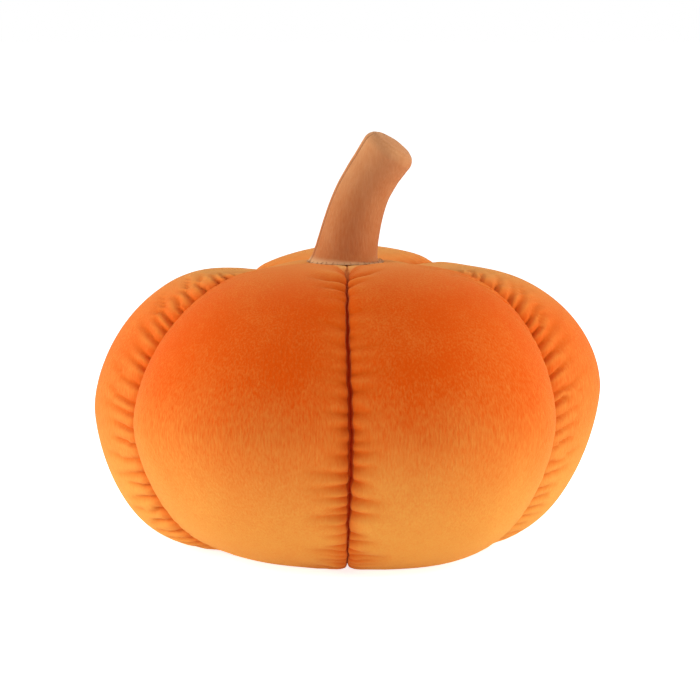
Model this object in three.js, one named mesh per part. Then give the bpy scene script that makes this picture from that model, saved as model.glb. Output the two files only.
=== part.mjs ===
import * as THREE from "three";

// A pumpkin cushion: five filled velvet lobes, drawn in along five sewn seams, and a stuffed velvet stem
// sewn to the crown. Millimetres, +Z up. One seam faces -Y, and the stem leans towards +X.

// The body's driving sizes.
const reach = 180; // from the axis to the fullest point of a lobe
const girthHeight = 97; // the widest ring
const crownHeight = 200; // the top of a lobe
const footRadius = 52; // the ring on which they are lowest
const footSink = 3; // how much of each underside the weight presses flat
const seatHeight = 197.5; // the flat in the middle of the crown that holds the stem
const seatRadius = 27;
const footHollow = 7; // the hollow under the middle, where the seams meet

// The seams.
const drawDepth = 4; // the narrow channel that the thread pulls
const drawWidth = 7;
const gatherHeight = 2.2; // the gathers on both sides of the thread
const gatherReach = 27; // how far they run out over the lobe
const gatherRise = 3; // how near the thread they are at their full height
const gatherUneven = 0.2; // how much their heights differ
const gatherWave = 1.9; // turn of that difference from row to row
const seamWave = 2.3; // and from seam to seam
const gatherLowest = 0.2; // down to this share of the rows the gathers are as strong as at the crown
const endRows = 5; // the gathers and the channel fade over these rows at the crown and at the foot

// How the profile climbs from the girth to the crown and falls to the foot. Here, and for over and under
// below, 1 makes an ellipse. Less than 1 for over or under is fuller.
const climbPower = 1.12;
const dropPower = 1.26;

// Five lobes by the way they face, in degrees from -Y towards +X: reach as a share, the lift of the girth,
// the crown's ring and lift, and how full each is over and under its girth.
const lobes = [
  { faces: 36, share: 0.957, lift: -2.6, crownAt: 56, crown: 0, over: 1.03, under: 0.78 },
  { faces: 108, share: 0.995, lift: 13.7, crownAt: 86, crown: -9, over: 1.05, under: 0.67 },
  { faces: 180, share: 1.025, lift: 2.8, crownAt: 85, crown: 0.5, over: 0.79, under: 0.66 },
  { faces: 252, share: 0.988, lift: -2, crownAt: 101, crown: -11, over: 1.22, under: 0.52 },
  { faces: 324, share: 0.962, lift: -0.9, crownAt: 51, crown: -1, over: 1.08, under: 1 },
];

// The seam that follows each lobe: its radius as a share of its lobes', how far it lies below them at the
// crown, its height at the foot, how full it is, and how strong its gathers are at the crown and foot. The
// last one is the front seam.
const seams = [
  { share: 0.81, drop: 3.6, foot: 2, over: 0.98, under: 0.66, crownGather: 1.0, footGather: 1.1 },
  { share: 0.84, drop: 3, foot: 2, over: 0.76, under: 0.7, crownGather: 0.8, footGather: 1.0 },
  { share: 0.84, drop: 9.8, foot: 2, over: 0.56, under: 0.7, crownGather: 0.8, footGather: 1.0 },
  { share: 0.84, drop: 4, foot: 2, over: 1.36, under: 0.62, crownGather: 1.0, footGather: 1.1 },
  { share: 0.885, drop: 4, foot: -1, over: 0.84, under: 0.62, crownGather: 0.35, footGather: 0.9 },
];

// Half a lobe, from its middle at 0 to its seam at 1: closer steps where the cloth is gathered.
const halfLobeSteps = [0, 0.28, 0.54, 0.76, 0.9, 0.965, 1];
const rowCount = 58; // rows from crown to foot, one for each gather and one for each dip between
const crownSteps = [0.75, 0.5, 0.25, 0]; // from the crown ring in to the seat
const seatSlope = 1.6; // above 1, the cloth climbs to the seat late
const footSteps = [0.66, 0.33]; // from the foot ring in to the middle
const seamSamples = 600; // straight pieces along which the front seam is measured
const tiltStep = 0.01; // radians to either side over which the slope of the profile is taken

// The stem, from its hem to its end: the distance along it, its lean towards +X and towards -Y in degrees,
// and its half width.
const stemSections = [
  { along: 0, lean: 0, nod: 0, half: 24.2 },
  { along: 2.6, lean: 3, nod: 0, half: 24.0 },
  { along: 3.4, lean: 6, nod: 0, half: 22.8 },
  { along: 8, lean: 10, nod: 1, half: 21.2 },
  { along: 16, lean: 12, nod: 3, half: 20.3 },
  { along: 29, lean: 15, nod: 4, half: 19.3 },
  { along: 42, lean: 20, nod: 5, half: 18.5 },
  { along: 54, lean: 28, nod: 6, half: 17.8 },
  { along: 68, lean: 33, nod: 8, half: 17.7 },
  { along: 81, lean: 34, nod: 10, half: 18.5 },
];
const stemLength = stemSections[stemSections.length - 1].along;
const hemSections = 4; // the first sections, which shape the turned-under hem
const stemShift = -1.8; // the hem's middle, along X from the body's axis
const stemStep = 3.2; // distance between two rings of the stem
const stemSides = 28;
const stemSeamSide = 15; // the side, counted from +X by way of +Y, that holds the stem's seam
const stemSeamDepth = 1;
const stemClear = 0.3; // between the hem and the seat
const endRound = 8; // the rounded rim of the end disc
const endDome = 3.2; // how far the disc bulges inside its rim
const endDomeShare = 0.75; // how much of that it has half way in
const endGroove = 0.7; // the sewn line round the disc
const rimSteps = 5; // steps of the rounded rim, with the sewn line on one of them
const rimSeamStep = 3;

const lobeHalf = Math.PI / lobes.length;
const degrees = THREE.MathUtils.degToRad;
const lerp = THREE.MathUtils.lerp;
const smooth = (value) => THREE.MathUtils.smoothstep(value, 0, 1);

// The round of half a filled lobe across its width, along an arc of a circle: 0 on its seam, which has this
// share of the lobe's radius, and 1 in the middle.
function bulge(across, seamShare) {
  const chord = seamShare * Math.cos(lobeHalf);
  const side = seamShare * Math.sin(lobeHalf);
  const sag = 1 - chord;
  const arc = (side ** 2 + sag ** 2) / (2 * sag);
  const centre = 1 - arc;
  const turn = across * lobeHalf;
  const share = centre * Math.cos(turn) + Math.sqrt(arc ** 2 - (centre * Math.sin(turn)) ** 2);
  return (share - seamShare) / (1 - seamShare);
}

// A point of a profile line, by its tilt: a quarter turn at the crown ring, 0 at the girth, minus a
// quarter turn at the foot ring.
function profile(line, tilt) {
  const outward = Math.max(Math.cos(tilt), 0);
  const along = Math.abs(Math.sin(tilt));
  if (tilt > 0) {
    return {
      radius: line.crownAt + (line.reach - line.crownAt) * outward ** line.over,
      height: line.girth + (line.crown - line.girth) * along ** climbPower,
    };
  }
  return {
    radius: footRadius + (line.reach - footRadius) * outward ** line.under,
    height: line.girth - (line.girth - line.foot) * along ** dropPower,
  };
}

const lobeLines = lobes.map((lobe) => ({
  reach: reach * lobe.share,
  girth: girthHeight + lobe.lift,
  crownAt: lobe.crownAt,
  crown: crownHeight + lobe.crown,
  foot: -footSink,
  over: lobe.over,
  under: lobe.under,
}));

// A seam lies midway between its two lobes, drawn in towards the axis.
const seamLines = lobeLines.map((line, i) => {
  const next = lobeLines[(i + 1) % lobeLines.length];
  return {
    reach: seams[i].share * (line.reach + next.reach) / 2,
    girth: (line.girth + next.girth) / 2,
    crownAt: (line.crownAt + next.crownAt) / 2,
    crown: (line.crown + next.crown) / 2 - seams[i].drop,
    foot: seams[i].foot,
    over: seams[i].over,
    under: seams[i].under,
  };
});

// The seam on one side of a lobe: the one before it where across is negative, or else the one after it.
function seamBeside(index, across) {
  return across < 0 ? (index + lobes.length - 1) % lobes.length : index;
}

// The smooth form at a place across a lobe, from -1 at the seam before it to 1 at the seam after it.
function smoothForm(index, across, tilt) {
  const lobe = profile(lobeLines[index], tilt);
  const seamIndex = seamBeside(index, across);
  const seam = profile(seamLines[seamIndex], tilt);
  const round = bulge(across, seams[seamIndex].share);
  return {
    radius: lerp(seam.radius, lobe.radius, round),
    height: lerp(seam.height, lobe.height, round),
  };
}

// How far the cloth stands out of the smooth form: a channel along the thread, and gathers beside it that
// lie on every second row. The two sides of a seam take turns, and waves of no common length make the
// heights uneven.
function relief(index, across, row, form) {
  const seamIndex = seamBeside(index, across);
  const { crownGather, footGather } = seams[seamIndex];
  const fromSeam = (1 - Math.abs(across)) * lobeHalf * form.radius;
  const strength = lerp(crownGather, footGather, smooth((row / rowCount - gatherLowest) * 2));
  const uneven = 1 - gatherUneven + gatherUneven * Math.sin(row * gatherWave + seamIndex * seamWave);
  const raised = (row + (across < 0 ? 1 : 0)) % 2;
  const spread = smooth(fromSeam / gatherRise) * (1 - smooth(fromSeam / gatherReach));
  const channel = drawDepth * Math.exp(-((fromSeam / drawWidth) ** 2));
  const ends = smooth(row / endRows) * smooth((rowCount - row) / endRows);
  return (gatherHeight * strength * uneven * raised * spread - channel) * ends;
}

// The tilts of the rows, spaced evenly along the front seam.
function rowTilts() {
  const line = seamLines[seamLines.length - 1];
  const tilts = [Math.PI / 2];
  const lengths = [0];
  let last = profile(line, tilts[0]);
  for (let i = 1; i <= seamSamples; i++) {
    const tilt = Math.PI / 2 - (Math.PI * i) / seamSamples;
    const point = profile(line, tilt);
    tilts.push(tilt);
    lengths.push(lengths[i - 1] + Math.hypot(point.radius - last.radius, point.height - last.height));
    last = point;
  }
  const rows = [];
  for (let row = 0; row <= rowCount; row++) {
    const wanted = (lengths[seamSamples] * row) / rowCount;
    const found = lengths.findIndex((length, sample) => sample > 0 && length >= wanted);
    const i = found < 0 ? seamSamples : found;
    const share = (wanted - lengths[i - 1]) / (lengths[i] - lengths[i - 1]);
    rows.push(lerp(tilts[i - 1], tilts[i], share));
  }
  return rows;
}

// The places round the body: each lobe from its first seam up to, but not including, its second.
const columns = lobes.flatMap((lobe, index) => {
  const before = halfLobeSteps.slice(1).reverse().map((step) => -step);
  const after = halfLobeSteps.slice(0, -1);
  return [...before, ...after].map((across) => ({
    index,
    across,
    angle: degrees(lobe.faces) + across * lobeHalf,
  }));
});

// A point at an angle round the axis. Nothing reaches below the surface that the cushion rests on.
function place(angle, radius, height) {
  return new THREE.Vector3(radius * Math.sin(angle), -radius * Math.cos(angle), Math.max(height, 0));
}

// A point of the gathered cloth, moved out of the smooth form square to its profile.
function clothPoint({ index, across, angle }, row, tilt) {
  const form = smoothForm(index, across, tilt);
  const above = smoothForm(index, across, Math.min(tilt + tiltStep, Math.PI / 2));
  const below = smoothForm(index, across, Math.max(tilt - tiltStep, -Math.PI / 2));
  const run = above.radius - below.radius;
  const climb = above.height - below.height;
  const out = relief(index, across, row, form) / Math.hypot(run, climb);
  return place(angle, form.radius + climb * out, form.height - run * out);
}

// Joins rings of points, given from the top down and anticlockwise from above, into one closed surface.
function closedSurface(top, rings, bottom) {
  const sides = rings[0].length;
  const points = [top, ...rings.flat(), bottom];
  const faces = [];
  const at = (ring, side) => 1 + ring * sides + (side % sides);
  for (let side = 0; side < sides; side++) {
    faces.push(0, at(0, side), at(0, side + 1));
    for (let ring = 0; ring < rings.length - 1; ring++) {
      faces.push(at(ring, side), at(ring + 1, side), at(ring, side + 1));
      faces.push(at(ring, side + 1), at(ring + 1, side), at(ring + 1, side + 1));
    }
    faces.push(points.length - 1, at(rings.length - 1, side + 1), at(rings.length - 1, side));
  }
  const geometry = new THREE.BufferGeometry().setFromPoints(points);
  geometry.setIndex(faces);
  geometry.computeVertexNormals();
  return geometry;
}

function bodyGeometry() {
  const cloth = rowTilts().map((tilt, row) => columns.map((column) => clothPoint(column, row, tilt)));
  const crown = crownSteps.map((step) => columns.map((column) => {
    const edge = smoothForm(column.index, column.across, Math.PI / 2);
    const height = lerp(seatHeight, edge.height, smooth(step * seatSlope));
    return place(column.angle, lerp(seatRadius, edge.radius, step), height);
  }));
  const foot = footSteps.map((step) => columns.map((column) => {
    const edge = smoothForm(column.index, column.across, -Math.PI / 2);
    return place(column.angle, edge.radius * step, lerp(footHollow, edge.height, smooth(step)));
  }));
  const rings = [...crown.reverse(), ...cloth, ...foot];
  return closedSurface(new THREE.Vector3(0, 0, seatHeight), rings, new THREE.Vector3(0, 0, footHollow));
}

// A value of the stem's table at a distance along it.
function stemValue(name, along) {
  const after = Math.max(stemSections.findIndex((section) => section.along >= along), 1);
  const [low, high] = [stemSections[after - 1], stemSections[after]];
  return lerp(low[name], high[name], (along - low.along) / (high.along - low.along));
}

// The distances of the stem's rings: one at each section of the hem, then even steps.
function stemStops() {
  const stops = stemSections.slice(0, hemSections).map((section) => section.along);
  const start = stops[hemSections - 1];
  const steps = Math.round((stemLength - start) / stemStep);
  for (let i = 1; i <= steps; i++) {
    stops.push(lerp(start, stemLength, i / steps));
  }
  return stops;
}

// Rings of the stem as it climbs and leans, then the rounded rim and the domed disc of its end.
function stemGeometry() {
  const foot = new THREE.Vector3(stemShift, 0, seatHeight + stemClear);
  const centre = foot.clone();
  const turn = new THREE.Euler();
  const up = new THREE.Vector3(0, 0, 1);
  const rings = [];
  const addRing = (radius, ahead, seamDepth) => {
    const ring = [];
    for (let side = 0; side < stemSides; side++) {
      const angle = (2 * Math.PI * side) / stemSides;
      const size = radius - (side === stemSeamSide ? seamDepth : 0);
      const point = new THREE.Vector3(size * Math.cos(angle), size * Math.sin(angle), ahead);
      ring.push(point.applyEuler(turn).add(centre));
    }
    rings.push(ring);
  };
  stemStops().forEach((along, i, stops) => {
    centre.addScaledVector(up, i > 0 ? along - stops[i - 1] : 0);
    turn.set(degrees(stemValue("nod", along)), degrees(stemValue("lean", along)), 0);
    up.set(0, 0, 1).applyEuler(turn);
    addRing(stemValue("half", along), 0, stemSeamDepth);
  });
  const disc = stemValue("half", stemLength) - endRound;
  for (let i = 1; i <= rimSteps; i++) {
    const bend = (Math.PI / 2) * (i / rimSteps);
    const onLine = i === rimSeamStep;
    const round = endRound - (onLine ? endGroove : 0);
    addRing(disc + round * Math.cos(bend), round * Math.sin(bend), i < rimSeamStep ? stemSeamDepth : 0);
  }
  addRing(disc / 2, endRound + endDome * endDomeShare, 0);
  const tip = new THREE.Vector3(0, 0, endRound + endDome).applyEuler(turn).add(centre);
  return closedSurface(tip, rings.reverse(), foot);
}

const orangeVelvet = new THREE.MeshStandardMaterial({ color: 0xdd6a1c, roughness: 0.9, metalness: 0 });
const brownVelvet = new THREE.MeshStandardMaterial({ color: 0xb87448, roughness: 0.9, metalness: 0 });

const body = new THREE.Mesh(bodyGeometry(), orangeVelvet);
body.name = "cushion_body";
const stem = new THREE.Mesh(stemGeometry(), brownVelvet);
stem.name = "stem";

// The origin is on the surface that the cushion rests on, below the middle of its box.
const cushion = new THREE.Group();
cushion.add(body, stem);
const middle = new THREE.Box3().setFromObject(cushion).getCenter(new THREE.Vector3());
for (const piece of [body, stem]) {
  piece.position.set(-middle.x, -middle.y, 0);
}

export default cushion;
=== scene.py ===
import math
import bpy
import numpy as np
from mathutils import Matrix, Vector


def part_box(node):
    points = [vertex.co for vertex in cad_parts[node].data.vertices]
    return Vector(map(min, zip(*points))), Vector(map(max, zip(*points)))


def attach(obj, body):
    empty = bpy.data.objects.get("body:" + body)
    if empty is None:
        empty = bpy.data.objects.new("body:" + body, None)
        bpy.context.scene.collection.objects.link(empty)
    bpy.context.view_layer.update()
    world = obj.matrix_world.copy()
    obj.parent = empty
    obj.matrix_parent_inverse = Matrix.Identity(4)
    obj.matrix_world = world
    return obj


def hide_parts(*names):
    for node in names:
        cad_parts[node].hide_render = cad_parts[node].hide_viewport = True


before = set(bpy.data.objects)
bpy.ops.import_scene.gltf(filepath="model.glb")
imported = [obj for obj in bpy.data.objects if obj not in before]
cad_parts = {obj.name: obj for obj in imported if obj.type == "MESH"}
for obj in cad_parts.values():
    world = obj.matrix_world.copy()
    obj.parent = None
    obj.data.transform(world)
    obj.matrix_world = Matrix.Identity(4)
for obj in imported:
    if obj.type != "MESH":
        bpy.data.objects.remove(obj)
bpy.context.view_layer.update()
bpy.ops.object.select_all(action="DESELECT")
print("frame loaded")

mm = 0.001                                         # metres
perMetre = 1000                                    # millimetres

# the photo's viewpoint, in metres, with the lens in millimetres
view = {
    "place": (-0.0004, -2.3917, 0.4133),
    "aim": (0.0016, -0.0074, 0.1362),
    "lens": 181.1,
    "farEnd": 50,
}


def turnTowards(piece, aim):
    # cameras and lamps look along their own -Z
    piece.rotation_euler = (Vector(aim) - piece.location).to_track_quat("-Z", "Y").to_euler()


def addCamera():
    camera = bpy.data.objects.new("viewCamera", bpy.data.cameras.new("viewCamera"))
    bpy.context.scene.collection.objects.link(camera)
    camera.data.lens = view["lens"]
    camera.data.clip_end = view["farEnd"]
    camera.location = view["place"]
    turnTowards(camera, view["aim"])
    bpy.context.scene.camera = camera


addCamera()

# the cushion's body, in millimetres
body = {
    "reach": 180, "girth": 97, "crown": 200, "footRadius": 52, "footSink": 3,
    "seatHeight": 197.5, "seatRadius": 27,         # where the crown meets the stem
    "seatTurn": 1.6, "footHollow": 7,
    "climb": 1.12, "fall": 1.26,                   # how the height runs to the crown and to the foot
    "crownRows": 26, "sideRows": 290, "footRows": 22, "tiltSteps": 2000,
    # from the seam to the middle of a lobe, on its widest ring
    "columns": (
        0, 0.5, 1, 1.6, 2.3, 3.2, 4.3, 5.7, 7.2, 9, 11, 13.5,
        16.5, 20, 24, 29, 35, 42, 50, 60, 71, 83, 95, 107,
    ),
    "slump": 0.6,                                  # slow lumps of the filling
    "slumpWaves": ((0, 23, 1.3), (2, 19, 0.4), (1, 27, 2.1)),        # and the axis, length and start of each wave
    "levelSheenTone": 0.4, "levelSheenGain": 3,              # how much paler painted sheen makes the level cloth
}

# each lobe: the way it faces, in degrees from the front towards +X, its share of the reach, how far its widest
# ring is lifted, the radius of its crown and how far that is lifted, its fullness above and below, its painted
# sheen, and how level the cloth lies where more painted sheen starts to make it paler
lobeNames = ("faces", "share", "lift", "crownAt", "crown", "over", "under", "lobeSheen", "sheenFrom")
lobes = [dict(zip(lobeNames, row)) for row in (
    (36, 0.957, -2.6, 56, 0, 1.03, 0.78, 0, 0.8),
    (108, 0.995, 13.7, 86, -9, 1.05, 0.67, 0.2, 0.5),
    (180, 1.025, 2.8, 85, 0.5, 0.79, 0.66, 0.2, 0.5),
    (252, 0.988, -2, 101, -11, 1.22, 0.52, 0.2, 0.5),
    (324, 0.962, -0.9, 51, -1, 1.08, 1, 0, 0.8),
)]
halfLobe = math.pi / len(lobes)

# the gathers of the seams: how strong they are at the crown and at the foot, how long and how far apart, their
# slant at the crown and at the foot, their least and greatest width, and the ridge below each
sideGathers = {
    "crownGather": 1.3, "footGather": 1.2, "length": 38, "pitch": 9.6,
    "slant": (-0.62, 0.3), "width": (1.4, 2.3), "ridge": 0.2,
}
backGathers = {
    "crownGather": 0.25, "footGather": 0.8, "length": 24, "pitch": 8.8,
    "slant": (-0.5, 0.4), "width": (1.6, 2.6), "ridge": 0.3,
    "sides": (1, 1), "channel": (4, 9),
}
frontGathers = {
    "crownGather": 0.4, "footGather": 1.05, "length": 25,
    "slant": (-0.1, 0.36), "width": (2.2, 3.7), "ridge": 0.45,
    "sides": (1, 1), "bow": 2.8,
    # where they lie, down the seam from the crown, on the side after it and on the side before it
    "after": (
        68, 80, 88, 96, 105, 114, 125, 139, 150, 158, 165, 175, 185, 197, 208,
        226, 233, 244, 251, 257, 263, 270, 277, 284, 291, 298, 305, 312,
    ),
    "before": (
        56, 68, 81, 94, 104, 112, 120, 130, 140, 149, 159, 168, 180, 188, 197,
        205, 211, 218, 227, 239, 246, 252, 258, 265, 272, 279, 287, 295, 303, 311,
    ),
    # the pleats under the hem: where, how deep, how long, their slant, and their width, which is negative where
    # the steep side is below
    "pleatsAfter": (
        (6, 1.0, 10, -0.6, 1.6), (26, 4.4, 28, -0.45, 3.4), (38, 2.0, 18, -0.3, 2.6), (50, 0.6, 16, 0, 2),
    ),
    "pleatsBefore": (
        (8, 1.0, 12, -0.3, 1.6), (30, 4.6, 30, 0, -4.6), (43, 2.6, 24, 0, -3.2), (49, 0.5, 14, 0.1, 2),
    ),
}

# the seam after each lobe: its share of their radius, how far it lies below them at the crown, its height at the
# foot, its fullness above and below, and how strong its gathers are on the side before it and after it
seams = [
    {"share": 0.81, "drop": 3.6, "foot": 2, "over": 0.98, "under": 0.66, "sides": (0.7, 0.95), **sideGathers},
    {"share": 0.84, "drop": 3, "foot": 2, "over": 0.76, "under": 0.7, **backGathers},
    {"share": 0.84, "drop": 9.8, "foot": 2, "over": 0.56, "under": 0.7, **backGathers},
    {"share": 0.84, "drop": 4, "foot": 2, "over": 1.36, "under": 0.62, "sides": (1.05, 0.4), **sideGathers},
    {"share": 0.885, "drop": 4, "foot": -1, "over": 0.84, "under": 0.62, **frontGathers},
]
frontSeam = len(seams) - 1

# what all the seams have, in millimetres
stitching = {
    "grooveDepth": 4.5, "grooveWidth": 0.5,        # the sharp line of the seam
    "channel": (1.6, 4.5),                         # and the soft dip round it: how deep and how wide
    "seatShare": 0.25, "seatGain": 0.75,           # both are shallow at the seat and whole further out
    "seatFrom": 26, "seatOver": 30, "footOver": 40,
    "gathersFrom": 20, "gathersOver": 34,          # the radius where the gathers begin
    # the seam's dark line, a painted shadow in its groove: its width, and how it grows from faint near the crown
    "foldWidth": 0.5, "foldShare": 0.25, "foldGain": 0.75, "foldFrom": 10, "foldOver": 50,
    "channelShadeReach": 7,                                 # how far the painted shade along the seam's channel reaches
    "bowAt": 0.5, "bowLength": 52, "bowWidth": 20,
    "shiver": 0.22, "shiverWidth": 4,              # how far the seam wavers to either side
    "shiverWaves": (2.3, 4.1),
    # the small tuck where the front seam meets the stem
    "tuckWidth": 13, "tuckFrom": 24, "tuckOver": 30, "tuckDown": 60, "tuckEdge": 2, "tuckLeast": 0.01,
}

# how the gathers are dealt out down a seam, whose crown is at 0 and whose foot is at 1
dealing = {
    "seed": 11, "start": -14, "startSpread": 6, "past": 20,
    "pitch": (0.75, 1.3), "depth": (1.7, 3.6), "length": (0.6, 1.3), "slant": (-0.1, 0.1),
    "closeFrom": 0.72, "closeRate": 5, "closer": 0.35,               # closer towards the foot
    "strongFrom": 0.2, "strongRate": 2.2,                            # from the crown's strength to the foot's
    "fineFrom": 0.78, "fineRate": 6, "shallower": 0.5, "narrower": 0.45,
    "slantFrom": 0.1, "slantOver": 0.65,
    "pleatRidge": 0.3,
}

# one gather across its own width: a valley, steep above and gentle below, with a ridge under it
gatherForm = {
    "steep": 0.7, "gentle": 1.2, "valley": 1.3, "ridgeAt": 2.3, "ridgeWidth": 1.3,
    "seamShare": 0.55, "seamGain": 0.45, "seamOver": 2,              # a little shallower right at the seam
    "narrow": 0.7, "widen": 0.9,                                     # and wider away from it
    "fullDepth": 2.6, "creaseShade": 1.5,                                 # how strong the painted shade and highlight are, and how sharp the painted shade in its valley is
}


def ease(x):
    x = np.clip(x, 0, 1)
    return x * x * (3 - 2 * x)


def dome(x):
    return np.exp(-(x ** 2))


def blendTo(a, b, share):
    return a + (b - a) * share


def bulge(across, seamShare):
    # one arc of a circle from the middle of a lobe, at 1, to its seam, at 0
    chord = seamShare * math.cos(halfLobe)
    side = seamShare * math.sin(halfLobe)
    sag = 1 - chord
    arc = (side ** 2 + sag ** 2) / (2 * sag)
    centre = 1 - arc
    turn = across * halfLobe
    share = centre * np.cos(turn) + np.sqrt(arc ** 2 - (centre * np.sin(turn)) ** 2)
    return (share - seamShare) / (1 - seamShare)


def lobeLine(lobe):
    return {
        "reach": body["reach"] * lobe["share"], "girth": body["girth"] + lobe["lift"],
        "crownAt": lobe["crownAt"], "crown": body["crown"] + lobe["crown"],
        "foot": -body["footSink"], "over": lobe["over"], "under": lobe["under"],
    }


def seamLine(index):
    here, after = lobeLine(lobes[index]), lobeLine(lobes[(index + 1) % len(lobes)])
    line = {name: (here[name] + after[name]) / 2 for name in here}
    line["reach"] *= seams[index]["share"]
    line["crown"] -= seams[index]["drop"]
    line["foot"] = seams[index]["foot"]
    line["over"], line["under"] = seams[index]["over"], seams[index]["under"]
    return line


def profile(line, tilt):
    # radius and height at each tilt, from a quarter turn at the crown to minus a quarter turn at the foot
    outward, along = np.maximum(np.cos(tilt), 0), np.abs(np.sin(tilt))
    upper = tilt > 0
    radius = np.where(
        upper,
        line["crownAt"] + (line["reach"] - line["crownAt"]) * outward ** line["over"],
        body["footRadius"] + (line["reach"] - body["footRadius"]) * outward ** line["under"],
    )
    height = np.where(
        upper,
        line["girth"] + (line["crown"] - line["girth"]) * along ** body["climb"],
        line["girth"] - (line["girth"] - line["foot"]) * along ** body["fall"],
    )
    return radius, height


def lobeProfile(index, across, tilt):
    lobeRadius, lobeHeight = profile(lobeLine(lobes[index]), tilt)
    radius, height = [np.zeros((len(tilt), len(across))) for _ in range(2)]
    for seamIndex, half in (((index - 1) % len(lobes), across < 0), (index, across >= 0)):
        seamRadius, seamHeight = profile(seamLine(seamIndex), tilt)
        full = bulge(across[half], seams[seamIndex]["share"])[None, :]
        radius[:, half] = blendTo(seamRadius, lobeRadius, full)
        height[:, half] = blendTo(seamHeight, lobeHeight, full)
    return radius, height


def evenTilts(count):
    # tilts that are evenly spaced along the front seam
    tilt = np.linspace(math.pi / 2, -math.pi / 2, body["tiltSteps"] + 1)
    radius, height = profile(seamLine(frontSeam), tilt)
    length = np.concatenate([[0], np.cumsum(np.hypot(np.diff(radius), np.diff(height)))])
    return np.interp(np.linspace(0, length[-1], count + 1), length, tilt)


def smoothLobe(index, across):
    # the ungathered cloth of one lobe: radius and height, from the seat to under the middle
    tilt = evenTilts(body["sideRows"])[:, None]
    side = lobeProfile(index, across, tilt)
    edgeRadius, edgeHeight = side[0][0], side[1][0]
    step = np.linspace(0, 1, body["crownRows"], endpoint=False)[:, None]
    crown = (
        blendTo(body["seatRadius"], edgeRadius, step),
        blendTo(body["seatHeight"], edgeHeight, ease(step * body["seatTurn"])),
    )
    edgeRadius, edgeHeight = side[0][-1], side[1][-1]
    step = np.linspace(1, 0, body["footRows"] + 1)[1:-1][:, None]
    foot = (edgeRadius * step, blendTo(body["footHollow"], edgeHeight, ease(step)))
    return [np.concatenate([crown[i], side[i], foot[i]]) for i in (0, 1)]


def smoothBody():
    # the ungathered cloth, row by row from the seat, and the lobe and column of each of its lines
    across = 1 - np.array(body["columns"]) / body["columns"][-1]
    columns = np.concatenate([-across[:-1], across[::-1][:-1]])
    points, lines = [], []
    for index, lobe in enumerate(lobes):
        radius, height = smoothLobe(index, columns)
        angle = math.radians(lobe["faces"]) + columns * halfLobe
        points.append(np.stack([radius * np.sin(angle), -radius * np.cos(angle), height], -1))
        lines += [(index, column) for column in columns]
    return np.concatenate(points, axis=1), lines


def gatherPlaces(seam, after, length, dice):
    if "after" in seam:
        return seam["after" if after else "before"]
    places = [dealing["start"] + dice.uniform(0, dealing["startSpread"])]
    while places[-1] < length + dealing["past"]:
        close = ease((places[-1] / length - dealing["closeFrom"]) * dealing["closeRate"])
        tight = 1 - dealing["closer"] * close
        places.append(places[-1] + seam["pitch"] * tight * dice.uniform(*dealing["pitch"]))
    return places


def gatherList(seamIndex, after, length):
    # the gathers on one side of a seam: place along it, depth, length, slant, width and ridge
    seam = seams[seamIndex]
    dice = np.random.RandomState(dealing["seed"] + seamIndex * 2 + after)
    gathers = []
    for at in gatherPlaces(seam, after, length, dice):
        down = at / length
        strong = ease((down - dealing["strongFrom"]) * dealing["strongRate"])
        strength = blendTo(seam["crownGather"], seam["footGather"], strong)
        fine = ease((down - dealing["fineFrom"]) * dealing["fineRate"])
        slant = blendTo(*seam["slant"], ease((down - dealing["slantFrom"]) / dealing["slantOver"]))
        shallow = 1 - dealing["shallower"] * fine
        gathers.append({
            "at": at,
            "depth": seam["sides"][after] * strength * dice.uniform(*dealing["depth"]) * shallow,
            "length": seam["length"] * dice.uniform(*dealing["length"]),
            "slant": slant + dice.uniform(*dealing["slant"]),
            "width": dice.uniform(*seam["width"]) * (1 - dealing["narrower"] * fine),
            "ridge": seam["ridge"],
        })
    for pleat in seam.get("pleatsAfter" if after else "pleatsBefore", ()):
        gathers.append(dict(zip(("at", "depth", "length", "slant", "width"), pleat), ridge=dealing["pleatRidge"]))
    return gathers


def gatherRelief(along, away, gathers):
    # how far the gathers lift the cloth, how much painted shade each point gets in a valley and how much painted
    # highlight on a ridge
    form = gatherForm
    relief, creaseShade, ridgeHighlight = [np.zeros_like(along) for _ in range(3)]
    for gather in gathers:
        fade = 1 - ease(away / gather["length"])
        fade = fade * (form["seamShare"] + form["seamGain"] * ease(away / form["seamOver"]))
        width = gather["width"] * (form["narrow"] + form["widen"] * away / gather["length"])
        x = (along - gather["at"] - gather["slant"] * away) / width
        ridge = dome((x - form["ridgeAt"]) / form["ridgeWidth"]) * fade
        x = np.abs(np.where(x < 0, x / form["steep"], x / form["gentle"]))
        relief += gather["depth"] * (gather["ridge"] * ridge - np.exp(-x ** form["valley"]) * fade)
        # painted shade along each valley's line and a painted highlight along its ridge
        share = min(abs(gather["depth"]) / form["fullDepth"], 1) * np.sqrt(fade)
        creaseShade = np.maximum(creaseShade, np.exp(-x ** form["creaseShade"]) * share)
        ridgeHighlight = np.maximum(ridgeHighlight, ridge * share)
    return relief, creaseShade, ridgeHighlight


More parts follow.
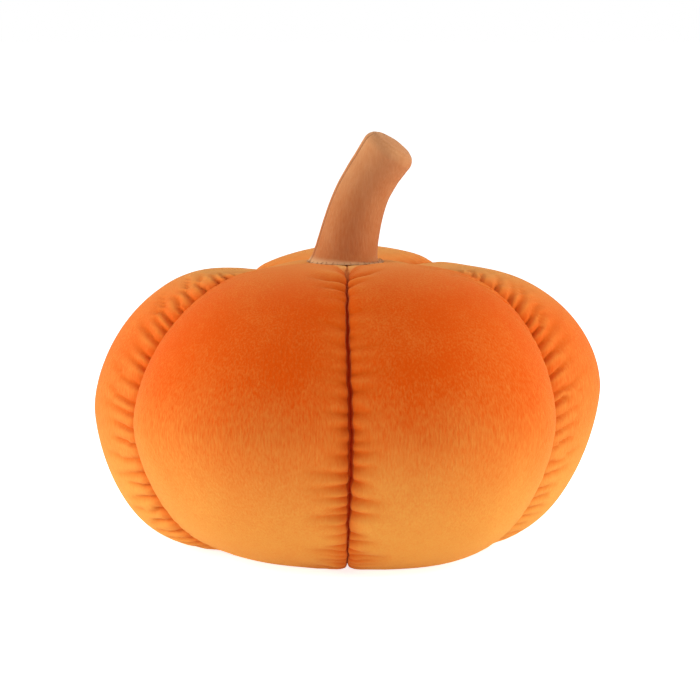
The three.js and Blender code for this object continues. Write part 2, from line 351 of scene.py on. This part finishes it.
def sewLine(points, radius, index, column):
    # one line of the cloth, from the seat to under the middle: its relief, its sway to the side and its marks
    after = bool(column < 0)
    seamIndex = (index - 1) % len(lobes) if after else index
    seam = seams[seamIndex]
    away = (1 - abs(column)) * halfLobe * radius
    along = np.concatenate([[0], np.cumsum(np.linalg.norm(np.diff(points, axis=0), axis=1))])
    along -= along[body["crownRows"]]
    length = along[body["crownRows"] + body["sideRows"]]
    under = along > length

    ends = ease((radius - stitching["gathersFrom"]) / stitching["gathersOver"])
    fine, creaseShade, ridgeHighlight = gatherRelief(along, away, gatherList(seamIndex, after, length))
    fine = np.where(under, fine * ends * ease(radius / body["footRadius"]), fine * ends)
    depth, width = seam.get("channel", stitching["channel"])
    channel = depth * dome(away / width)
    groove = stitching["grooveDepth"] * np.exp(-away / stitching["grooveWidth"])
    seat = ease((radius - stitching["seatFrom"]) / stitching["seatOver"])
    seamEnds = stitching["seatShare"] + stitching["seatGain"] * seat
    seamEnds = np.where(under, ease(radius / stitching["footOver"]), seamEnds)
    relief = fine - (groove + channel) * seamEnds

    bow = seam.get("bow", 0) * dome((along - stitching["bowAt"] * length) / stitching["bowLength"])
    waves = [np.sin(along / wave + (k + 1) * seamIndex) for k, wave in enumerate(stitching["shiverWaves"])]
    shiver = stitching["shiver"] * (waves[0] + waves[1]) * ends
    sway = bow * dome(away / stitching["bowWidth"]) + shiver * dome(away / stitching["shiverWidth"])

    tuck = np.zeros_like(radius)
    if seamIndex == frontSeam:
        out = radius - stitching["tuckFrom"]
        spread = np.maximum(stitching["tuckWidth"] * (1 - out / stitching["tuckOver"]), stitching["tuckLeast"])
        near = (out < stitching["tuckOver"]) * (along < stitching["tuckDown"])
        tuck = ease(stitching["tuckEdge"] * (1 - away / spread)) * near
    # the seam's painted shadow line, fainter near the crown
    foldEnds = ease((along + stitching["foldFrom"]) / stitching["foldOver"])
    fold = dome(away / stitching["foldWidth"]) * (stitching["foldShare"] + stitching["foldGain"] * foldEnds)
    # marks for the material; painted light among them: shade in the gather valleys, a highlight on their ridges,
    # shade along the seam's channel and the shadow line in its groove
    marks = {
        "tuck": tuck, "ridgeHighlight": ridgeHighlight * ends * (1 - creaseShade), "channel": dome(away / stitching["channelShadeReach"]) * ends,
        "creaseShade": creaseShade * ends, "fold": fold,
    }
    return relief, sway, marks


def offsetToBox(node, grid):
    # how far a grid is moved to lie in the middle of its node's box, in millimetres
    low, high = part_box(node)
    middle = [(grid[..., i].min() + grid[..., i].max()) / 2 for i in (0, 1)]
    return [perMetre * (low[i] + high[i]) / 2 - middle[i] for i in (0, 1)] + [0]


def buildBody():
    grid, lines = smoothBody()
    roundWay = np.roll(grid, -1, axis=1) - np.roll(grid, 1, axis=1)
    normal = np.cross(roundWay, -np.gradient(grid, axis=0))
    normal /= np.linalg.norm(normal, axis=-1, keepdims=True)
    roundWay /= np.linalg.norm(roundWay, axis=-1, keepdims=True)

    radius = np.hypot(grid[..., 0], grid[..., 1])
    sewn = [sewLine(grid[:, k], radius[:, k], *line) for k, line in enumerate(lines)]
    relief, sway = [np.stack([line[i] for line in sewn], axis=1) for i in (0, 1)]
    marks = {name: np.stack([line[2][name] for line in sewn], axis=1) for name in sewn[0][2]}
    waves = [np.sin(grid[..., axis] / wave + start) for axis, wave, start in body["slumpWaves"]]
    relief += body["slump"] * (waves[0] * waves[1] * waves[2])
    grid = grid + normal * relief[..., None] + roundWay * sway[..., None]
    grid = grid + offsetToBox("cushion_body", grid)
    grid[..., 2] = np.maximum(grid[..., 2], 0)       # flat where it stands on the floor

    # painted sheen: the cloth is painted paler where it lies level high up, and a little over the side and back
    # lobes
    lobeSheen, sheenFrom = [np.array([lobes[index][name] for index, _ in lines]) for name in ("lobeSheen", "sheenFrom")]
    level = np.clip((normal[..., 2] - sheenFrom) / (1 - sheenFrom), 0, 1) ** 2 * (grid[..., 2] > body["girth"])
    crown = lobeSheen + (body["levelSheenTone"] + body["levelSheenGain"] * lobeSheen) * level * (1 - lobeSheen)
    return grid, {"crown": crown, **marks}


def meshFromGrid(name, grid, top, bottom, marks):
    # a closed skin over rows of points, from its top to its bottom, with marks from 0 to 1 for its material
    rows, sides = grid.shape[:2]
    points = np.concatenate([[top], grid.reshape(-1, 3), [bottom]]) * mm
    at = 1 + np.arange(rows * sides).reshape(rows, sides)
    after = np.roll(at, -1, axis=1)
    quads = np.stack([at[:-1], at[1:], after[1:], after[:-1]], -1).reshape(-1, 4).tolist()
    last = len(points) - 1
    caps = [(0, int(a), int(b)) for a, b in zip(at[0], after[0])]
    caps += [(last, int(b), int(a)) for a, b in zip(at[-1], after[-1])]
    mesh = bpy.data.meshes.new(name)
    mesh.from_pydata(points.tolist(), [], quads + caps)
    mesh.validate()
    mesh.update()
    mesh.shade_smooth()
    for label, values in marks.items():
        layer = mesh.attributes.new(label, "FLOAT", "POINT")
        layer.data.foreach_set("value", np.concatenate([[0], values.ravel(), [0]]).astype(np.float32))
    piece = bpy.data.objects.new(name, mesh)
    bpy.context.scene.collection.objects.link(piece)
    return piece


bodyGrid, bodyMarks = buildBody()
seatMiddle = bodyGrid[0].mean(axis=0)
footMiddle = (bodyGrid[-1, :, 0].mean(), bodyGrid[-1, :, 1].mean(), body["footHollow"])
velvetBody = meshFromGrid("velvetBody", bodyGrid, seatMiddle, footMiddle, bodyMarks)
print("body made", len(velvetBody.data.polygons))

# the stem, in millimetres and degrees
stem = {
    "along": (0, 0.7, 1.6, 2.8, 8, 16, 29, 42, 54, 68, 81),
    "lean": (0, 1, 3, 6, 10, 12, 15, 20, 28, 33, 34),                # towards +X
    "nod": (0, 0, 0, 0, 1, 3, 4, 5, 6, 8, 10),                       # towards the front
    # the radius, which flares at the hem
    "half": (26.2, 24.8, 23.9, 22.6, 21.2, 20.3, 19.3, 18.5, 17.8, 17.7, 18.5),
    "shift": -1.8, "clear": -0.3,
    "hemStops": (0, 0.4, 0.9, 1.4, 1.8, 2.1, 2.4, 2.8, 3.4, 4.2), "hemEnd": 5, "step": 0.9, "sides": 112,
    "hemFrom": 0.4, "hemOver": 2.6,                                  # the paler tone of the hem
    "seamAngle": 194, "seamDepth": 1.4, "seamWidth": 1.1, "foldWidth": 0.8,
    "endRound": 8, "endBend": 6, "endDome": 1.8,
    "endGroove": 0.4, "endGrooveAt": 60, "endGrooveWidth": 5,        # where the end disc is sewn in
    "endShares": (0.85, 0.7, 0.55, 0.4, 0.25, 0.12),
}


def leanAndNod(lean, nod):
    # the stem's axes after a lean towards +X and a nod towards -Y
    cosLean, sinLean, cosNod, sinNod = math.cos(lean), math.sin(lean), math.cos(nod), math.sin(nod)
    aboutY = np.array([[cosLean, 0, sinLean], [0, 1, 0], [-sinLean, 0, cosLean]])
    aboutX = np.array([[1, 0, 0], [0, cosNod, -sinNod], [0, sinNod, cosNod]])
    return aboutX @ aboutY


def buildStem():
    length = stem["along"][-1]
    stops = np.concatenate([stem["hemStops"], np.arange(stem["hemEnd"], length, stem["step"]), [length]])
    lean, nod = [np.radians(np.interp(stops, stem["along"], stem[name])) for name in ("lean", "nod")]
    half = np.interp(stops, stem["along"], stem["half"])
    angle = np.linspace(0, 2 * math.pi, stem["sides"], endpoint=False)
    off = np.abs((angle - math.radians(stem["seamAngle"]) + math.pi) % (2 * math.pi) - math.pi)
    centre = np.array([stem["shift"], 0.0, body["seatHeight"] + stem["clear"]])
    rings, folds, hems = [], [], []

    def addRing(radius, ahead, axes, seamShare=1.0, hem=0.0):
        size = radius - seamShare * stem["seamDepth"] * dome(off * radius / stem["seamWidth"])
        folds.append(seamShare * dome(off * radius / stem["foldWidth"]))
        hems.append(np.full_like(angle, hem))
        local = np.stack([size * np.cos(angle), size * np.sin(angle), np.full_like(angle, ahead)], -1)
        rings.append(local @ axes.T + centre)

    axes = leanAndNod(0, 0)
    for i, stop in enumerate(stops):
        if i:
            centre = centre + axes[:, 2] * (stop - stops[i - 1])
        axes = leanAndNod(lean[i], nod[i])
        addRing(half[i], 0, axes, hem=1 - ease((stop - stem["hemFrom"]) / stem["hemOver"]))
    disc = half[-1] - stem["endRound"]
    for bend in np.radians(np.arange(stem["endBend"], 91, stem["endBend"])):
        turn = math.degrees(bend)
        ball = stem["endRound"] - stem["endGroove"] * dome((turn - stem["endGrooveAt"]) / stem["endGrooveWidth"])
        addRing(disc + ball * math.cos(bend), ball * math.sin(bend), axes, 1 - ease(turn / stem["endGrooveAt"]))
    for share in stem["endShares"]:
        addRing(disc * share, stem["endRound"] + stem["endDome"] * (1 - share ** 2), axes, 0)
    tip = centre + axes[:, 2] * (stem["endRound"] + stem["endDome"])
    return np.array(rings[::-1]), tip, {"fold": np.array(folds[::-1]), "hem": np.array(hems[::-1])}


stemGrid, stemTip, stemMarks = buildStem()
offset = offsetToBox("stem", stemGrid)
stemGrid = stemGrid + offset
stemFoot = stemGrid[-1].mean(axis=0)
velvetStem = meshFromGrid("velvetStem", stemGrid, stemTip + offset, stemFoot, stemMarks)
print("stem made", len(velvetStem.data.polygons))

# the hand stitches that hold the stem's hem to the crown, in millimetres and degrees
stitches = {
    "count": 36, "ring": 25.4, "rise": 0.75, "length": 3.2, "thick": 0.4, "sides": 8,
    "slope": 31, "skew": 20, "skewSpread": (-8, 8), "placeSpread": (-0.25, 0.25), "seed": 5,
    "roundShare": 2.6, "roundSteps": 2, "roundAngle": 60,
}


def modelStitch():
    bpy.ops.mesh.primitive_cylinder_add(
        vertices=stitches["sides"], radius=stitches["thick"] / 2 / perMetre, depth=stitches["length"] / perMetre,
    )
    thread = bpy.context.active_object
    bpy.ops.object.mode_set(mode="EDIT")
    bpy.ops.mesh.select_all(action="SELECT")
    bpy.ops.transform.rotate(value=math.pi / 2, orient_axis="X", center_override=(0, 0, 0))    # along Y
    bpy.ops.object.mode_set(mode="OBJECT")
    rounding = thread.modifiers.new("roundEnds", "BEVEL")
    rounding.width = stitches["thick"] / stitches["roundShare"] / perMetre
    rounding.segments = stitches["roundSteps"]
    rounding.angle_limit = math.radians(stitches["roundAngle"])
    bpy.ops.object.modifier_apply(modifier=rounding.name)
    thread.data.shade_smooth()
    return thread


def sewHem():
    first = modelStitch()
    dice = np.random.RandomState(stitches["seed"])
    threads = [first] + [first.copy() for _ in range(stitches["count"] - 1)]
    for thread in threads[1:]:
        thread.data = first.data.copy()
        bpy.context.scene.collection.objects.link(thread)
    place = Matrix.Translation(Vector((0, -stitches["ring"], stitches["rise"])) * mm)
    slope = Matrix.Rotation(math.radians(stitches["slope"]), 4, "X")
    for k, thread in enumerate(threads):
        around = (k + dice.uniform(*stitches["placeSpread"])) * 2 * math.pi / len(threads)
        skew = stitches["skew"] * (1 if k % 2 else -1) + dice.uniform(*stitches["skewSpread"])
        tilt = slope @ Matrix.Rotation(math.radians(skew), 4, "Z")
        turn = Matrix.Translation(Vector(stemFoot) * mm) @ Matrix.Rotation(around, 4, "Z")
        thread.data.transform(turn @ place @ tilt)
    bpy.ops.object.select_all(action="DESELECT")
    for thread in threads:
        thread.select_set(True)
    bpy.context.view_layer.objects.active = first
    bpy.ops.object.join()
    first.name = "hemStitches"
    return first


hemStitches = sewHem()
print("hem sewn", len(hemStitches.data.polygons))

# the nap of a velvet: scale, detail and stretch of its brushed patches, its streaks down the cloth and its pile
nap = {
    "patches": (22, 4, (1, 1, 0.7)),
    "streaks": (900, 3, (1, 1, 0.18)),
    "pile": (1800, 2, (1, 1, 0.5)),
    "roughness": 0.6, "middle": 0.5, "pileShare": 0.5,
}

# a look's deep and light tone, how light it is, the heights between which it turns paler at the foot, as painted
# light from below and painted sheen, and at the crown, in metres, and how much, and how strong the patches and
# streaks are
napInputs = [
    ("Deep", "NodeSocketColor", (0.6, 0.08, 0.006, 1)),
    ("Light", "NodeSocketColor", (0.95, 0.3, 0.05, 1)),
    ("Base", "NodeSocketFloat", 0.1),
    ("Low", "NodeSocketFloat", 0.0),
    ("High", "NodeSocketFloat", 0.15),
    ("Painted Foot Light", "NodeSocketFloat", 0.0),
    ("Crown Low", "NodeSocketFloat", 0.22),
    ("Crown High", "NodeSocketFloat", 0.3),
    ("Crown", "NodeSocketFloat", 0.0),
    ("Patches", "NodeSocketFloat", 0.4),
    ("Streaks", "NodeSocketFloat", 0.8),
]
napOutputs = [("Colour", "NodeSocketColor"), ("Pile", "NodeSocketFloat")]


def newGroup(name, inputs, outputs):
    group = bpy.data.node_groups.new(name, "ShaderNodeTree")
    for label, kind, value in inputs:
        socket = group.interface.new_socket(label, in_out="INPUT", socket_type=kind)
        socket.default_value = value
    for label, kind in outputs:
        group.interface.new_socket(label, in_out="OUTPUT", socket_type=kind)
    return group, group.nodes.new("NodeGroupInput"), group.nodes.new("NodeGroupOutput")


def velvetNapAndPaintedLight():
    group, start, end = newGroup("velvetNapAndPaintedLight", napInputs, napOutputs)
    nodes, links = group.nodes, group.links
    place = nodes.new("ShaderNodeTexCoord").outputs["Object"]
    split = nodes.new("ShaderNodeSeparateXYZ")
    links.new(place, split.inputs[0])

    def put(socket, value):
        if isinstance(value, (int, float)):
            socket.default_value = value
        else:
            links.new(value, socket)

    def overHeight(low, high, atLow, atHigh):
        node = nodes.new("ShaderNodeMapRange")
        node.interpolation_type = "SMOOTHSTEP"
        links.new(split.outputs["Z"], node.inputs["Value"])
        for label, value in zip(("From Min", "From Max", "To Min", "To Max"), (low, high, atLow, atHigh)):
            put(node.inputs[label], value)
        return node.outputs[0]

    def noise(scale, detail, stretch):
        mapping = nodes.new("ShaderNodeMapping")
        mapping.inputs["Scale"].default_value = stretch
        texture = nodes.new("ShaderNodeTexNoise")
        texture.inputs["Scale"].default_value = scale
        texture.inputs["Detail"].default_value = detail
        texture.inputs["Roughness"].default_value = nap["roughness"]
        links.new(place, mapping.inputs["Vector"])
        links.new(mapping.outputs[0], texture.inputs["Vector"])
        return texture.outputs["Fac"]

    def calc(kind, *values):
        node = nodes.new("ShaderNodeMath")
        node.operation = kind
        for socket, value in zip(node.inputs, values):
            put(socket, value)
        return node.outputs[0]

    given = start.outputs
    # painted light: paler towards the foot, standing in for light from the floor and the velvet's sheen
    fall = overHeight(given["Low"], given["High"], given["Painted Foot Light"], 0)
    crown = overHeight(given["Crown Low"], given["Crown High"], 0, given["Crown"])
    patches = calc("SUBTRACT", noise(*nap["patches"]), nap["middle"])
    streaks = calc("SUBTRACT", noise(*nap["streaks"]), nap["middle"])
    tone = calc("ADD", calc("ADD", fall, crown), given["Base"])
    tone = calc("MULTIPLY_ADD", patches, given["Patches"], tone)
    tone = calc("MULTIPLY_ADD", streaks, given["Streaks"], tone)
    mix = nodes.new("ShaderNodeMix")
    mix.data_type = "RGBA"
    mix.clamp_factor = True
    links.new(tone, mix.inputs["Factor"])
    links.new(given["Deep"], mix.inputs["A"])
    links.new(given["Light"], mix.inputs["B"])
    links.new(mix.outputs["Result"], end.inputs["Colour"])
    links.new(calc("MULTIPLY_ADD", noise(*nap["pile"]), nap["pileShare"], streaks), end.inputs["Pile"])
    return group


napAndPaintedLightGroup = velvetNapAndPaintedLight()

velvetFinish = {"Roughness": 0.85, "Specular IOR Level": 0.05, "Sheen Roughness": 0.35}
pileHeight = 0.0006                                # metres

# each mark on the mesh has its tone, whose last value is how much of the cloth it covers
orangeLook = {
    "nap": {
        "Deep": (0.80, 0.088, 0.001, 1), "Light": (0.89, 0.41, 0.08, 1), "Base": 0.06,
        "Low": 0.0, "High": 0.15, "Painted Foot Light": 0.88, "Patches": 0.4, "Streaks": 0.8,
    },
    "marks": {
        # painted light among the marks: the level cloth's paler tone is painted sheen, the ridge tone a painted
        # highlight, the valley and channel tones painted shade, and the seam's dark line a painted shadow
        "crown": (0.88, 0.42, 0.11, 0.62), "tuck": (0.95, 0.50, 0.16, 0.8), "ridgeHighlight": (0.92, 0.36, 0.07, 0.5),
        "channel": (0.76, 0.10, 0.002, 0.6), "creaseShade": (0.70, 0.105, 0.004, 0.8), "fold": (0.40, 0.014, 0.0005, 1),
    },
    "sheen": 0.3, "sheenTint": (1.0, 0.64, 0.24, 1), "bump": 0.6,
}
brownLook = {
    "nap": {
        "Deep": (0.50, 0.155, 0.05, 1), "Light": (0.68, 0.34, 0.16, 1), "Base": 0.1,
        "Crown Low": 0.22, "Crown High": 0.30, "Crown": 0.6, "Patches": 1.2, "Streaks": 0.6,
    },
    "marks": {"hem": (0.72, 0.42, 0.22, 0.8), "fold": (0.16, 0.05, 0.02, 1)},
    "sheen": 0.3, "sheenTint": (1.0, 0.75, 0.55, 1), "bump": 0.5,
}
threadLook = {
    "nap": {
        "Deep": (0.38, 0.16, 0.07, 1), "Light": (0.7, 0.42, 0.24, 1), "Base": 0.35,
        "Patches": 1.0, "Streaks": 1.5,
    },
    "marks": {},
    "sheen": 0.1, "sheenTint": (1.0, 0.8, 0.6, 1), "bump": 0.3,
}


def velvet(name, look):
    material = bpy.data.materials.new(name)
    material.use_nodes = True
    nodes, links = material.node_tree.nodes, material.node_tree.links
    shader = nodes["Principled BSDF"]
    for label, value in velvetFinish.items():
        shader.inputs[label].default_value = value
    shader.inputs["Sheen Weight"].default_value = look["sheen"]
    shader.inputs["Sheen Tint"].default_value = look["sheenTint"]
    cloth = nodes.new("ShaderNodeGroup")
    cloth.node_tree = napAndPaintedLightGroup
    for label, value in look["nap"].items():
        cloth.inputs[label].default_value = value
    colour = cloth.outputs["Colour"]
    for label, (*tone, cover) in look["marks"].items():
        mark = nodes.new("ShaderNodeAttribute")
        mark.attribute_name = label
        amount = nodes.new("ShaderNodeMath")
        amount.operation = "MULTIPLY"
        amount.inputs[1].default_value = cover
        links.new(mark.outputs["Fac"], amount.inputs[0])
        mix = nodes.new("ShaderNodeMix")
        mix.data_type = "RGBA"
        links.new(amount.outputs[0], mix.inputs["Factor"])
        links.new(colour, mix.inputs["A"])
        mix.inputs["B"].default_value = (*tone, 1)
        colour = mix.outputs["Result"]
    links.new(colour, shader.inputs["Base Color"])
    bump = nodes.new("ShaderNodeBump")
    bump.inputs["Strength"].default_value = look["bump"]
    bump.inputs["Distance"].default_value = pileHeight
    links.new(cloth.outputs["Pile"], bump.inputs["Height"])
    links.new(bump.outputs[0], shader.inputs["Normal"])
    return material


velvetBody.data.materials.append(velvet("orangeVelvet", orangeLook))
velvetStem.data.materials.append(velvet("brownVelvet", brownLook))
hemStitches.data.materials.append(velvet("brownThread", threadLook))

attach(velvetBody, "root")
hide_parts("cushion_body")
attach(velvetStem, "root")
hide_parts("stem")
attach(hemStitches, "root")
print("velvet laid on")

studio = {
    "world": 0.42, "floorSize": 24, "floorTone": (0.93, 0.93, 0.93, 1), "floorRoughness": 0.9,
    "floorSeen": 0.78, "floorGlow": 0.2,           # how the floor glows to the camera, and to the cushion
    "aim": (0, 0, 0.1),
    "lamps": [
        # name, place, size, watts, colour
        ("leftBox", (-1.7, 0.0, 0.32), 1.2, 29, (0.94, 1, 0.88)),
        ("rightBox", (1.7, 0.0, 0.32), 1.2, 27, (0.94, 1, 0.88)),
        ("frontBox", (0, -2.6, 0.1), 1.2, 9.6, (1, 1, 1)),
        ("topBox", (0, 0.0, 2.0), 0.6, 6, (1, 1, 1)),
    ],
}
white = (1, 1, 1, 1)


def addFloor():
    bpy.ops.mesh.primitive_plane_add(size=studio["floorSize"])
    floor = bpy.context.active_object
    floor.name = "floor"
    material = bpy.data.materials.new("floorWhite")
    material.use_nodes = True
    nodes, links = material.node_tree.nodes, material.node_tree.links
    shader = nodes["Principled BSDF"]
    shader.inputs["Base Color"].default_value = studio["floorTone"]
    shader.inputs["Roughness"].default_value = studio["floorRoughness"]
    shader.inputs["Specular IOR Level"].default_value = 0
    shader.inputs["Emission Color"].default_value = white
    rays = nodes.new("ShaderNodeLightPath")
    glow = nodes.new("ShaderNodeMapRange")
    glow.inputs["To Min"].default_value = studio["floorGlow"]
    glow.inputs["To Max"].default_value = studio["floorSeen"]
    links.new(rays.outputs["Is Camera Ray"], glow.inputs["Value"])
    links.new(glow.outputs[0], shader.inputs["Emission Strength"])
    floor.data.materials.append(material)


def addWorld():
    # soft light all round, and plain white where the camera sees it
    world = bpy.data.worlds.new("studioWorld")
    world.use_nodes = True
    nodes, links = world.node_tree.nodes, world.node_tree.links
    lit = nodes["Background"]
    lit.inputs["Color"].default_value = white
    lit.inputs["Strength"].default_value = studio["world"]
    seen = nodes.new("ShaderNodeBackground")
    seen.inputs["Color"].default_value = white
    rays = nodes.new("ShaderNodeLightPath")
    both = nodes.new("ShaderNodeMixShader")
    links.new(rays.outputs["Is Camera Ray"], both.inputs[0])
    links.new(lit.outputs[0], both.inputs[1])
    links.new(seen.outputs[0], both.inputs[2])
    links.new(both.outputs[0], nodes["World Output"].inputs["Surface"])
    bpy.context.scene.world = world


def addLamps():
    for name, place, size, watts, colour in studio["lamps"]:
        light = bpy.data.lights.new(name, "AREA")
        light.size = size
        light.energy = watts
        light.color = colour
        lamp = bpy.data.objects.new(name, light)
        lamp.location = place
        turnTowards(lamp, studio["aim"])
        bpy.context.scene.collection.objects.link(lamp)


addFloor()
addWorld()
addLamps()
bpy.context.scene.view_settings.view_transform = "Standard"
bpy.context.scene.view_settings.look = "None"
print("studio lit")
